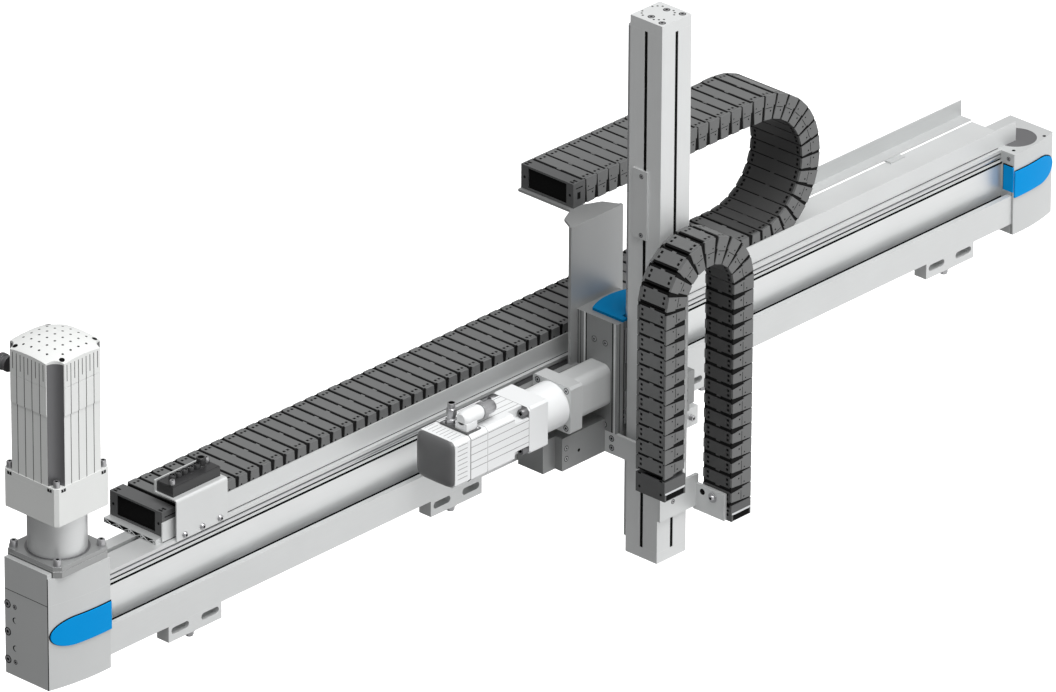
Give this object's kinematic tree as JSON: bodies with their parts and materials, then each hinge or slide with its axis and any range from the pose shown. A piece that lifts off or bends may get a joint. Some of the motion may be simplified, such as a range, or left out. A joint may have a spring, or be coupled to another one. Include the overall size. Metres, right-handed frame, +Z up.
{
  "type": "linear gantry",
  "caption": "Belt-driven linear axis with a carriage that carries a vertical column axis, servo drives and an energy chain for each axis",
  "frame": {"origin": "centre of the beam's flat back face", "axes": "+X along the beam away from the drive, +Y out of the beam's back face, +Z up along the column"},
  "size_m": [1.9995, 0.3405, 0.806],
  "materials": {
    "anodised_profile": "satin anodised",
    "sheet_metal": "satin",
    "machined_aluminium": "fine machined",
    "blue_cover": "satin",
    "motor_grey": "satin cast",
    "servo_white": "satin",
    "black_plastic": "matt",
    "steel": "ground",
    "steel_band": "brushed",
    "belt_rubber": "matt",
    "chain_plastic": "matt, moulded"
  },
  "bodies": {
    "beam": {"beam_profile": "anodised_profile", "cover_band": "steel_band", "guide_rails": "steel", "belt_x": "belt_rubber", "drive_housing": "machined_aluminium", "drive_upper_housing": "machined_aluminium", "drive_cover": "blue_cover", "end_housing": "machined_aluminium", "end_cover": "blue_cover", "gearbox_flange_x": "machined_aluminium", "gearbox_x": "steel", "motor_adapter_x": "machined_aluminium", "motor_flange_x": "machined_aluminium", "motor_x_body": "motor_grey", "motor_x_cap": "motor_grey", "motor_x_plug": "black_plastic", "cable_trough": "sheet_metal", "trough_back_angle": "anodised_profile", "chain_support": "anodised_profile", "mount_brackets": "anodised_profile", "distributor_sheet": "sheet_metal", "distributor_box": "black_plastic", "distributor_sockets": "black_plastic", "chain_a_fixed_connector": "chain_plastic", "chain_a_lower_run": "chain_plastic"},
    "carriage": {"carriage_saddle": "machined_aluminium", "carriage_guide": "black_plastic", "carriage_adapters": "machined_aluminium", "foot_block": "machined_aluminium", "chain_b_holder": "sheet_metal", "switch_bracket": "sheet_metal", "z_head_housing": "machined_aluminium", "z_head_cover": "blue_cover", "z_guide_blocks": "steel", "coupling_housing_z": "machined_aluminium", "gearbox_z": "steel", "motor_z_adapter": "machined_aluminium", "motor_z_body": "servo_white", "motor_z_rear": "black_plastic", "motor_z_plugs": "black_plastic", "chain_a_bracket": "sheet_metal", "chain_a_moving_connector": "chain_plastic", "chain_a_upper_run": "chain_plastic", "chain_b_fixed_connector": "chain_plastic", "chain_b_left_leg": "chain_plastic"},
    "column": {"column_profile": "anodised_profile", "column_top_plate": "machined_aluminium", "column_end_plate": "machined_aluminium", "column_rail": "steel", "column_belt": "belt_rubber", "column_side_plate": "sheet_metal", "column_lower_bracket": "sheet_metal", "chain_b_moving_connector": "chain_plastic", "chain_b_right_leg": "chain_plastic"},
    "chain_a_loop": {"chain_a_loop": "chain_plastic"},
    "chain_b_loop": {"chain_b_loop": "chain_plastic"},
    "drive_pulley": {"drive_pulley": "steel"},
    "idler_pulley": {"idler_pulley": "steel"},
    "z_pulley": {"z_pulley": "steel"}
  },
  "joints": [
    {"name": "x_slide", "type": "slide", "parent": "beam", "child": "carriage", "axis": [1, 0, 0], "range_m": [-0.63, 0.63], "deforming": ["chain_a_lower_run"]},
    {"name": "z_slide", "type": "slide", "parent": "carriage", "child": "column", "axis": [0, 0, 1], "range_m": [-0.36, 0.18], "deforming": ["chain_b_right_leg"]},
    {"name": "chain_a_slide", "type": "slide", "parent": "carriage", "child": "chain_a_loop", "axis": [1, 0, 0], "range_m": [-0.315, 0.315], "deforming": ["chain_a_upper_run"]},
    {"name": "chain_b_slide", "type": "slide", "parent": "carriage", "child": "chain_b_loop", "axis": [0, 0, 1], "range_m": [-0.18, 0.09], "deforming": ["chain_b_left_leg"]},
    {"name": "drive_pulley_turn", "type": "hinge", "parent": "beam", "child": "drive_pulley", "pos_m": [-0.9445, -0.0387, 0], "axis": [0, 0, 1], "continuous": true},
    {"name": "idler_pulley_turn", "type": "hinge", "parent": "beam", "child": "idler_pulley", "pos_m": [0.9445, -0.0387, 0], "axis": [0, 0, 1], "continuous": true},
    {"name": "z_pulley_turn", "type": "hinge", "parent": "carriage", "child": "z_pulley", "pos_m": [0.052, -0.137, 0.043], "axis": [1, 0, 0], "continuous": true}
  ],
  "couplings": [
    {"joint": "chain_a_slide", "follows": "x_slide", "ratio": -0.5},
    {"joint": "chain_b_slide", "follows": "z_slide", "ratio": 0.5},
    {"joint": "drive_pulley_turn", "follows": "x_slide", "rad_per_m": 40.733},
    {"joint": "idler_pulley_turn", "follows": "x_slide", "rad_per_m": 40.733},
    {"joint": "z_pulley_turn", "follows": "z_slide", "rad_per_m": -28.369}
  ]
}
